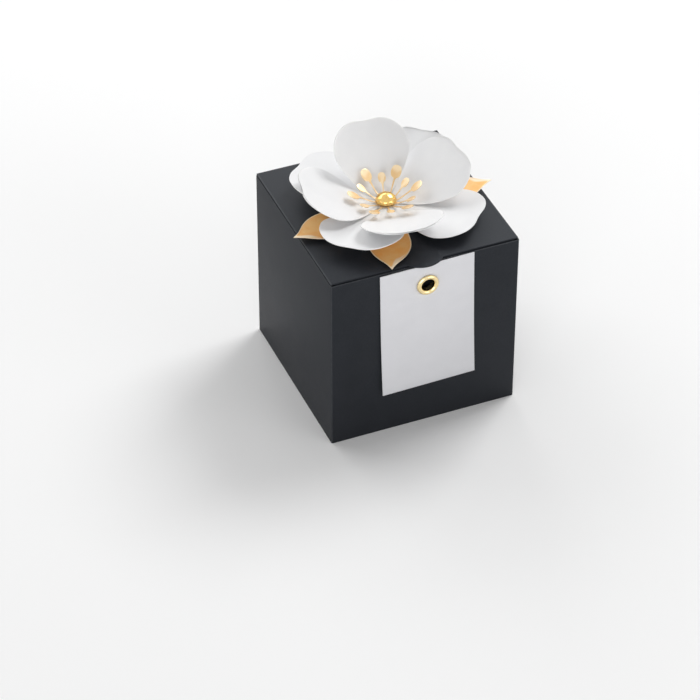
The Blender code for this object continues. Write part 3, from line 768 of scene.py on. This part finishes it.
@dataclass
class Carton:
    """Four walls folded from one sheet, with the flaps inside them."""

    card: float = 0.0005
    fold: float = 0.0007
    fold_steps: int = 4
    cut_edge: float = 0.00008
    eyelet_hole: float = 0.00335
    cutter: float = 0.0040
    flat: float = math.radians(1.0)
    finish: CardFinish = field(default_factory=CardFinish)

    def sleeve(self, axis: Vector) -> bpy.types.Object:
        """Model the four walls as one folded sleeve."""
        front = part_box("front_wall")
        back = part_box("back_wall")
        low = Vector((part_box("left_wall")[0].x, front[0].y, front[0].z))
        high = Vector((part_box("right_wall")[1].x, back[1].y, back[1].z))
        piece = bench.block("carton_sleeve", low, high)
        with bench.editing(piece):
            bench.pick(piece, faces=lambda face: abs(face.normal.z) > FACING)
            bpy.ops.mesh.delete(type="ONLY_FACE")
            bench.pick(piece, edges=lambda edge: abs(
                edge.verts[0].co.z - edge.verts[1].co.z) > self.fold)
            bench.round_edges(self.fold, self.fold_steps)
        bench.modify(piece, "SOLIDIFY", thickness=self.card, offset=-1.0, use_even_offset=True)
        eyelet = joint_place("tag_swing")
        bench.cut_round(piece, Vector((eyelet.x, low.y, eyelet.z)), INWARD,
                        self.eyelet_hole, self.cutter)
        bench.soften(piece, self.cut_edge)
        # Corners and top edge of the walls: rubbed wear with a painted highlight.
        finish = CardFinish(wear_and_highlight=WearAndHighlight.CORNERS, half_size=high.x, top=high.z, axis_y=axis.y)
        return bench.dress(
            piece, finish.material("card_walls"), Body.CARTON,
            ("front_wall", "left_wall", "back_wall", "right_wall"))

    def flap(self, node: str, body: Body, material: bpy.types.Material) -> bpy.types.Object:
        """Model one flap from its node's outline, with softened cut edges."""
        piece = bench.copy_of(node, node + "_card")
        with bench.editing(piece):
            bench.pick_all()
            bpy.ops.mesh.dissolve_limited(angle_limit=self.flat)
        bench.soften(piece, self.cut_edge)
        return bench.dress(piece, material, body, (node,))

    def crease(self) -> bpy.types.Object:
        """Model the crease between the front wall and its bottom flap."""
        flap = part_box("bottom_tongue_flap")
        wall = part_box("front_wall")
        middle = Vector(((flap[0].x + flap[1].x) / 2, (wall[1].y + flap[0].y) / 2,
                         flap[0].z + self.card / 2))
        bead = CreaseBead("front_bottom_crease", flap[1].x - flap[0].x)
        return bead.build(middle, self.finish.material("card_bottom_crease"))

    def build(self, axis: Vector) -> list[bpy.types.Object]:
        """Model the sleeve, every flap and the front wall's bottom crease.

        Args:
            axis: the carton's upright axis.

        Returns:
            The pieces.
        """
        inside = self.finish.material("card_inside")
        pieces = [self.sleeve(axis)]
        for node, body in (
            ("glue_flap", Body.CARTON),
            ("bottom_tongue_flap", Body.CARTON),
            ("bottom_side_flap_right", Body.CARTON),
            ("bottom_side_flap_left", Body.CARTON),
            ("bottom_notch_flap", Body.CARTON),
            ("dust_flap_left", Body.DUST_LEFT),
            ("dust_flap_right", Body.DUST_RIGHT),
            ("tuck_flap", Body.TUCK_FLAP),
        ):
            pieces.append(self.flap(node, body, inside))
        pieces.append(self.crease())
        return pieces


@dataclass
class Lid:
    """Lid panel with its thumb tab, folded at its front and back edges."""

    crease_finish: CardFinish = field(default_factory=CardFinish)
    fold: float = 0.00035
    fold_steps: int = 3
    cut_edge: float = 0.00008
    tab_chord: float = 0.0150
    tab_length: float = 0.0036
    tab_steps: int = 16
    nudge_share: float = 0.05
    weld: float = 0.00001
    brad_hole: float = 0.0017
    brad_hole_sides: int = 32
    cutter: float = 0.0020

    def crease(self) -> bpy.types.Object:
        """Model the back crease, on the hinge's axis."""
        low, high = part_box("lid_panel")
        hinge = joint_place("lid_hinge")
        middle = Vector(((low.x + high.x) / 2, hinge.y, hinge.z))
        bead = CreaseBead("back_crease", high.x - low.x - self.fold * 2)
        return bead.build(middle, self.crease_finish.material("card_back_crease"))

    def tab_reach(self, across: float) -> float:
        """How far the tab stands out from the lid's front edge at a distance from its middle."""
        rise = self.tab_length
        radius = (self.tab_chord ** 2 / 4 + rise ** 2) / (2 * rise)
        return max(math.sqrt(radius ** 2 - across ** 2) - (radius - rise), 0.0)

    def build(self, axis: Vector) -> bpy.types.Object:
        """Model the lid.

        Args:
            axis: the carton's upright axis.

        Returns:
            The lid panel.
        """
        low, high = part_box("lid_panel")
        front = low.y + self.tab_length
        piece = bench.block("lid_card", Vector((low.x, front, low.z)), high)
        nudge = self.tab_length * self.nudge_share
        stations = [
            self.tab_chord * (step / self.tab_steps - 0.5) for step in range(self.tab_steps + 1)]
        with bench.editing(piece):
            for across in stations:
                bench.slice(ACROSS * across, ACROSS)
            bench.pick(piece, faces=lambda face: face.normal.y < -FACING and abs(
                face.calc_center_median().x) < self.tab_chord / 2)
            bpy.ops.mesh.extrude_region_move(TRANSFORM_OT_translate={"value": (0.0, -nudge, 0.0)})
            for across in stations:
                bench.pick(piece, verts=lambda vert: abs(
                    vert.co.x - across) < MERGE and vert.co.y < front - nudge / 2)
                shift = nudge - self.tab_reach(across)
                bpy.ops.transform.translate(value=(0.0, shift, 0.0))
            bench.weld(self.weld)
            bench.pick(piece, edges=lambda edge: self.is_fold(edge, front, high))
            bench.round_edges(self.fold, self.fold_steps)
        bench.cut_round(piece, Vector((axis.x, axis.y, high.z)), UPWARD,
                        self.brad_hole, self.cutter, self.brad_hole_sides)
        bench.soften(piece, self.cut_edge)
        # Folds of the lid: rubbed wear with a painted highlight, except at the tab.
        finish = CardFinish(wear_and_highlight=WearAndHighlight.RIM, half_size=high.x, top=high.z, axis_y=axis.y)
        return bench.dress(piece, finish.material("card_lid"), Body.LID, ("lid_panel",))

    def is_fold(self, edge: bmesh.types.BMEdge, front: float, high: Vector) -> bool:
        """Whether an edge is one of the lid's two folded edges, on its upper side."""
        ends = [vert.co for vert in edge.verts]
        if any(end.z < high.z - MERGE for end in ends):
            return False
        if all(abs(end.y - high.y) < MERGE for end in ends):
            return True
        beside = all(abs(end.x) > self.tab_chord / 2 - MERGE for end in ends)
        return beside and all(abs(end.y - front) < MERGE for end in ends)


# --------------------------------------------------------------------------------------
# Tag and eyelet
# --------------------------------------------------------------------------------------


@dataclass
class HangingTag:
    """White card tag held by the eyelet, its lower part curling off the wall."""

    width: float = 0.0400
    height: float = 0.0590
    card: float = 0.0004
    above_eyelet: float = 0.0095
    flat_below: float = 0.0080
    curl: float = 0.0012
    swing: float = 1.1
    hole: float = 0.00335
    cutter: float = 0.0040
    rows: int = 14
    cut_edge: float = 0.00006
    # Its edge colour is the painted cut-edge highlight, which needs a rim mark that the tag does
    # not carry.
    finish: PaperFinish = field(default_factory=lambda: PaperFinish(
        face=(0.80, 0.80, 0.825), shade=(0.775, 0.775, 0.80), edge=(0.90, 0.90, 0.92),
        roughness=0.6))

    def build(self) -> bpy.types.Object:
        """Model the tag: a sheet, curled row by row, cut for the eyelet and swung."""
        pin = joint_place("tag_swing")
        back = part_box("tag")[1].y
        half = self.width / 2
        top = pin.z + self.above_eyelet
        low = Vector((pin.x - half, back - self.card, top - self.height))
        piece = bench.block("tag_card", low, Vector((pin.x + half, back, top)))
        flat_end = pin.z - self.flat_below
        rows = [flat_end + (low.z - flat_end) * step / self.rows for step in range(self.rows)]
        with bench.editing(piece):
            for level in rows:
                bench.slice(UPWARD * level, UPWARD)
            for level in [*rows[1:], low.z]:
                share = (level - flat_end) / (low.z - flat_end)
                bench.pick(piece, verts=lambda vert: abs(vert.co.z - level) < MERGE)
                bpy.ops.transform.translate(value=(0.0, -self.curl * share ** 2, 0.0))
        bench.cut_round(piece, pin, INWARD, self.hole, self.cutter)
        with bench.editing(piece):
            bench.pick_all()
            bpy.ops.transform.rotate(value=math.radians(self.swing), orient_axis="Y",
                                     orient_type="GLOBAL", center_override=pin)
        bench.soften(piece, self.cut_edge)
        return bench.dress(
            piece, self.finish.material("tag_card"), Body.TAG, ("tag",))


@dataclass
class Eyelet:
    """Gold eyelet: a rolled flange in front, a barrel, and a rolled collar behind."""

    bore: float = 0.00265
    wall: float = 0.0004
    flange: float = 0.0046
    flange_rise: float = 0.0009
    collar: float = 0.0041
    collar_rise: float = 0.0007
    segments: int = 72
    bead_segments: int = 28
    sharp: float = 45.0
    plane_play: float = 0.000005
    ring_play: float = 0.00002
    finish: GoldFinish = field(default_factory=lambda: GoldFinish(
        face=(0.93, 0.76, 0.42), deep=(0.86, 0.66, 0.32), roughness=0.14))

    def bead(self, name: str, outer: float, rise: float, at: Vector) -> bpy.types.Object:
        """Half-round bead between the bore and an outer radius.

        Args:
            name: the bead's name.
            outer: its outer radius.
            rise: its height; it rises towards -Y, or towards +Y if negative.
            at: middle of its flat side.

        Returns:
            The open bead.
        """
        bench.clear()
        half = (outer - self.bore) / 2
        bpy.ops.mesh.primitive_torus_add(
            major_radius=self.bore + half, minor_radius=half, major_segments=self.segments,
            minor_segments=self.bead_segments, location=at, rotation=(math.pi / 2, 0.0, 0.0))
        piece = bench.take(name)
        bench.settle(piece)
        with bench.editing(piece):
            bench.pick_all()
            bpy.ops.transform.resize(value=(1.0, abs(rise) / half, 1.0), center_override=at)
            bench.slice(at, INWARD * math.copysign(1.0, rise), clear_outer=True)
        return piece

    def build(self) -> bpy.types.Object:
        """Model the eyelet: two beads, drawn in to the barrel and bridged."""
        pin = joint_place("tag_swing")
        low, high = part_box("eyelet")
        front = Vector((pin.x, low.y + self.flange_rise, pin.z))
        behind = Vector((pin.x, high.y - self.collar_rise, pin.z))
        piece = self.bead("eyelet_gold", self.flange, self.flange_rise, front)
        collar = self.bead("eyelet_collar", self.collar, -self.collar_rise, behind)
        bench.hold(piece)
        collar.select_set(True)
        bpy.ops.object.join()
        barrel = self.bore + self.wall
        with bench.editing(piece):
            for middle, outer in ((front, self.flange), (behind, self.collar)):
                bench.pick(piece, edges=self.ring(middle, outer))
                bpy.ops.mesh.extrude_edges_move()
                share = barrel / outer
                bpy.ops.transform.resize(value=(share, 1.0, share), center_override=middle)
            for radius in (self.bore, barrel):
                bench.pick(piece, edges=lambda edge: self.ring(front, radius)(edge)
                           or self.ring(behind, radius)(edge))
                bpy.ops.mesh.bridge_edge_loops()
            bench.weld()
            bpy.ops.mesh.normals_make_consistent(inside=False)
        bench.smooth(piece, self.sharp)
        return bench.dress(
            piece, self.finish.material("eyelet_gold"), Body.CARTON, ("eyelet",))

    def ring(self, middle: Vector, radius: float) -> Callable[[bmesh.types.BMEdge], bool]:
        """Test for the edges of a ring about the eyelet's axis."""

        def passes(edge: bmesh.types.BMEdge) -> bool:
            """Whether both ends lie on the ring."""
            for vert in edge.verts:
                away = vert.co - middle
                if abs(away.y) > self.plane_play:
                    return False
                if abs(math.hypot(away.x, away.z) - radius) > self.ring_play:
                    return False
            return True

        return passes


# --------------------------------------------------------------------------------------
# Flower
# --------------------------------------------------------------------------------------


@dataclass
class FlowerLayer:
    """One die-cut layer of the flower, smoothed, with a marked rim and soft cut edges."""

    node: str
    slot: Slot
    rim: float
    lip: float = 0.0
    facing: float = 0.35
    levels: int = 2
    cut_edge: float = 0.00004
    soft: float = 50.0
    sharp: float = 50.0

    def build(self, material: bpy.types.Material) -> bpy.types.Object:
        """Model the layer.

        Args:
            material: its finish.

        Returns:
            The finished layer.
        """
        piece = bench.copy_of(self.node, self.node + "_paper")
        with bench.editing(piece):
            for side in (1.0, -1.0):
                bench.pick(piece, faces=lambda face: side * face.normal.z > self.facing)
                bpy.ops.mesh.inset(thickness=self.rim, use_even_offset=False, use_boundary=True)
            bpy.ops.mesh.select_all(action="DESELECT")
            bpy.context.tool_settings.mesh_select_mode = (False, True, False)
            bpy.ops.mesh.edges_select_sharp(sharpness=math.radians(self.sharp))
            bpy.ops.transform.edge_crease(value=1.0)
            if self.lip:
                bpy.ops.transform.translate(value=(0.0, 0.0, self.lip))
        edged = {index for edge in piece.data.edges if edge.select for index in edge.vertices}
        # The rim mark places the painted edge highlight of the paper and foil finishes.
        bench.mark(piece, "rim", lambda index: index in edged)
        bench.modify(piece, "SUBSURF", levels=self.levels, render_levels=self.levels)
        bench.soften(piece, self.cut_edge, self.soft)
        return bench.dress(piece, material, Body.FLOWER, (self.node,))


@dataclass
class PaperFlower:
    """Gold leaves, two layers of white petals and a ring of gold stamens."""

    petals: PaperFinish = field(default_factory=PaperFinish)
    foil: FoilFinish = field(default_factory=FoilFinish)
    # The stamens' rim colour is a painted highlight along their cut edges.
    stamens: FoilFinish = field(default_factory=lambda: FoilFinish(
        face=(0.74, 0.50, 0.25), light=(0.80, 0.58, 0.32), rim=(0.86, 0.68, 0.44),
        roughness=0.38, metal=0.75, rim_highlight_metal=0.75))

    def build(self) -> list[bpy.types.Object]:
        """Model every layer and hand back the pieces."""
        paper = self.petals.material("petal_paper")
        foil = self.foil.material("leaf_foil")
        stamens = self.stamens.material("stamen_foil")
        layers = (
            (FlowerLayer("gold_leaves", Slot.FOIL, rim=0.00045, lip=0.00010), foil),
            (FlowerLayer("lower_petals", Slot.PETAL_PAPER, rim=0.00035), paper),
            (FlowerLayer("upper_petals", Slot.PETAL_PAPER, rim=0.00035), paper),
            (FlowerLayer("stamen_ring", Slot.FOIL, rim=0.00006, cut_edge=0.00003, sharp=65.0),
             stamens),
        )
        return [layer.build(material) for layer, material in layers]


@dataclass
class Brad:
    """Domed gold cap, with its strip's legs splayed under the lid."""

    segments: int = 96
    rings: int = 48
    wall: float = 0.0005
    rim_round: float = 0.00012
    rim_steps: int = 3
    rim_sharp: float = 50.0
    strip_round: float = 0.00006
    finish: GoldFinish = field(default_factory=GoldFinish)
    strip_finish: GoldFinish = field(default_factory=lambda: GoldFinish(roughness=0.2))

    def cap(self, material: bpy.types.Material) -> bpy.types.Object:
        """Model the dome: the upper half of a flattened ball, given a wall and a soft rim."""
        low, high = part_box("brad_cap")
        centre = Vector(((low.x + high.x) / 2, (low.y + high.y) / 2, low.z))
        radius = (high.x - low.x) / 2
        bench.clear()
        bpy.ops.mesh.primitive_uv_sphere_add(
            segments=self.segments, ring_count=self.rings, radius=radius, location=centre,
            scale=(1.0, 1.0, (high.z - low.z) / radius))
        piece = bench.take("brad_dome")
        bench.settle(piece)
        with bench.editing(piece):
            bench.slice(centre, UPWARD, clear_inner=True)
        bench.modify(piece, "SOLIDIFY", thickness=self.wall, offset=-1.0)
        bench.soften(piece, self.rim_round, self.rim_sharp, self.rim_steps)
        return bench.dress(piece, material, Body.LID, ("brad_cap",))

    def legs(self, material: bpy.types.Material) -> bpy.types.Object:
        """Model the strip from its node, with softened edges."""
        piece = bench.copy_of("brad_legs", "brad_strip")
        bench.soften(piece, self.strip_round)
        return bench.dress(piece, material, Body.LID, ("brad_legs",))

    def build(self) -> list[bpy.types.Object]:
        """Model the cap and the legs."""
        return [self.cap(self.finish.material("brad_gold")),
                self.legs(self.strip_finish.material("strip_gold"))]


# --------------------------------------------------------------------------------------
# Studio
# --------------------------------------------------------------------------------------


@dataclass(frozen=True)
class Softbox:
    """One large soft lamp that looks at the box."""

    name: str
    place: Colour
    size: Span
    power: float

    def build(self, target: Vector) -> None:
        """Add the lamp, turned to its target."""
        lamp = bpy.data.lights.new(self.name, "AREA")
        lamp.shape = "RECTANGLE"
        lamp.size, lamp.size_y = self.size
        lamp.energy = self.power
        item = bpy.data.objects.new(self.name, lamp)
        item.location = self.place
        item.rotation_euler = (target - item.location).to_track_quat("-Z", "Y").to_euler()
        bpy.context.scene.collection.objects.link(item)


@dataclass
class Studio:
    """White floor and backdrop, soft lamps around and the camera at the photograph's angle."""

    eye: Colour = (-0.40281080, -0.92960096, 0.82811352)
    forward: Colour = (0.29866818, 0.71671559, -0.63017146)
    right: Colour = (0.92330179, -0.38407448, 0.00077549)
    lens: float = 162.7554
    sensor: float = 36.0
    clip_start: float = 0.01
    lamp_target: float = 0.06
    floor_size: float = 2.0
    sky: float = 0.30
    backdrop: float = 0.97
    softboxes: tuple[Softbox, ...] = (
        Softbox("back_high_softbox", (1.2, 0.55, 1.55), (0.9, 0.9), 17.7),
        Softbox("back_right_softbox", (0.9, 0.9, 1.0), (0.8, 0.8), 1.8),
        Softbox("back_left_softbox", (-0.7, 1.0, 1.0), (0.8, 0.8), 3.8),
        Softbox("back_softbox", (0.0, 1.4, 0.9), (1.0, 0.8), 6.3),
        Softbox("front_left_softbox", (-0.7, -1.2, 0.45), (0.8, 0.8), 5.7),
        Softbox("front_right_softbox", (0.7, -1.1, 0.45), (0.8, 0.8), 3.1),
        Softbox("left_softbox", (-1.4, -0.2, 0.45), (0.8, 0.8), 0.8),
    )

    def camera(self, axis: Vector) -> None:
        """Add the camera; its place is measured from the carton's axis."""
        right = Vector(self.right)
        back = -Vector(self.forward)
        up = back.cross(right)
        matrix = Matrix((right, up, back)).transposed().to_4x4()
        matrix.translation = Vector(self.eye) + Vector((0.0, axis.y, 0.0))
        data = bpy.data.cameras.new("camera")
        data.sensor_fit = "HORIZONTAL"
        data.sensor_width = self.sensor
        data.lens = self.lens
        data.clip_start = self.clip_start
        item = bpy.data.objects.new("camera", data)
        item.matrix_world = matrix
        bpy.context.scene.collection.objects.link(item)
        bpy.context.scene.camera = item

    def floor(self) -> None:
        """Add the floor."""
        bench.clear()
        bpy.ops.mesh.primitive_plane_add(size=self.floor_size)
        piece = bench.take("floor")
        piece.data.materials.append(FloorFinish().material("floor_white"))

    def world(self) -> None:
        """White backdrop that gives even, low light from all around."""
        graph = SkyGraph("studio")
        strength = self.sky + graph.seen() * (self.backdrop - self.sky)
        bpy.context.scene.world = graph.finish(Color=(1.0, 1.0, 1.0), Strength=strength)

    def build(self, axis: Vector) -> None:
        """Set the scene.

        Args:
            axis: the carton's upright axis.
        """
        self.camera(axis)
        self.floor()
        self.world()
        target = Vector((axis.x, axis.y, self.lamp_target))
        for softbox in self.softboxes:
            softbox.build(target)
        bpy.context.scene.view_settings.view_transform = "Standard"


def main() -> None:
    """Build the sub-assemblies in order and report each piece."""
    logging.basicConfig(level=logging.INFO, format="%(message)s")
    bench.clear()
    axis = joint_place("flower_turn")
    pieces = Carton().build(axis)
    lid = Lid()
    pieces += [lid.build(axis), lid.crease()]
    pieces.append(HangingTag().build())
    pieces.append(Eyelet().build())
    pieces += PaperFlower().build()
    pieces += Brad().build()
    Studio().build(axis)
    log.info("%d pieces", len(pieces))


if __name__ == "__main__":
    main()
